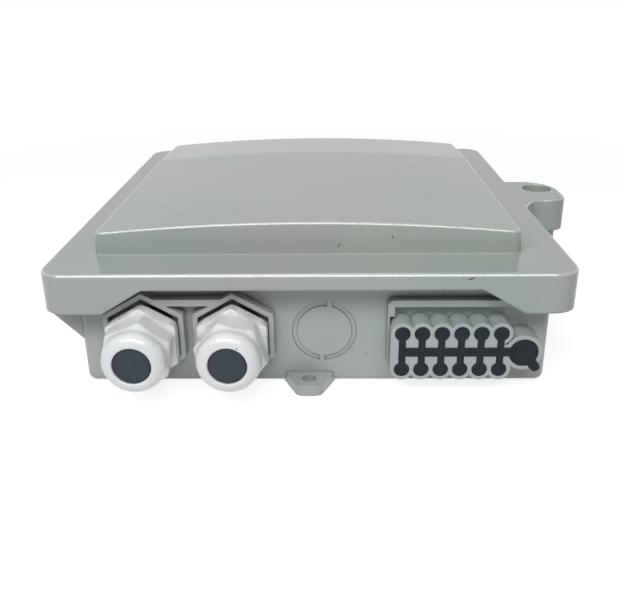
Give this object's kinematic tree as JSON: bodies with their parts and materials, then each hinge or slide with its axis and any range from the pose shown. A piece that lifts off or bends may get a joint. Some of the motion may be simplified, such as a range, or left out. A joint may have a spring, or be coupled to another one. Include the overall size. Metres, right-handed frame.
{
  "type": "fibre distribution box",
  "caption": "Wall-mounted fibre distribution box with a hinged lid, cable glands and a sealed drop-port block.",
  "frame": {"origin": "middle of the flat back, on the wall plane, under the middle of the lid", "axes": "+Z out of the wall, +Y away from the cable entries, +X towards the lock"},
  "size_m": [0.2725, 0.2879, 0.0764],
  "materials": {
    "housing": "moulded grey-green ABS, satin to glossy",
    "lid": "moulded grey-green ABS, glossy",
    "foam": "soft black gasket rubber",
    "nylon": "white moulded nylon",
    "seal_rubber": "dark grey rubber",
    "steel": "zinc-plated steel",
    "sheet_steel": "galvanised sheet steel",
    "cap_plastic": "milky soft plastic",
    "adapter_plastic": "green moulded plastic",
    "clear_plastic": "clear smoked polycarbonate sheet",
    "tray_plastic": "light grey moulded ABS"
  },
  "bodies": {
    "box": {"base_shell": "housing", "hinge_pin_lower": "steel", "hinge_pin_upper": "steel", "gland_body_left": "nylon", "gland_cap_left": "nylon", "gland_seal_left": "seal_rubber", "gland_plug_left": "seal_rubber", "gland_washer_left": "seal_rubber", "gland_nut_left": "nylon", "gland_body_right": "nylon", "gland_cap_right": "nylon", "gland_seal_right": "seal_rubber", "gland_plug_right": "seal_rubber", "gland_washer_right": "seal_rubber", "gland_nut_right": "nylon", "port_block": "housing", "port_seal": "seal_rubber", "cable_clamp_left": "tray_plastic", "cable_clamp_right": "tray_plastic", "splice_tray": "tray_plastic", "splice_holder": "tray_plastic", "tray_cover": "clear_plastic", "adapter_bracket": "sheet_steel", "adapter_01": "adapter_plastic", "adapter_02": "adapter_plastic", "adapter_03": "adapter_plastic", "adapter_04": "adapter_plastic", "adapter_05": "adapter_plastic", "adapter_06": "adapter_plastic", "adapter_07": "adapter_plastic", "adapter_08": "adapter_plastic", "adapter_09": "adapter_plastic", "adapter_10": "adapter_plastic", "adapter_11": "adapter_plastic", "adapter_12": "adapter_plastic", "adapter_dust_caps": "cap_plastic", "clamp_screws": "steel", "tray_screws": "steel", "bracket_screws": "steel", "fibre_guides": "tray_plastic"},
    "lid": {"lid_shell": "lid", "lid_gasket": "foam"},
    "lock": {"lock_bolt": "steel", "lock_cross_pin": "steel"}
  },
  "joints": [
    {"name": "lid_hinge", "type": "hinge", "parent": "box", "child": "lid", "pos_m": [-0.1175, 0, 0.037], "axis": [0, -1, 0], "range_deg": [0, 115]},
    {"name": "lock_turn", "type": "hinge", "parent": "lid", "child": "lock", "pos_m": [0.1373, 0.013, 0.05], "axis": [0, 0, 1], "range_deg": [0, 90]}
  ]
}
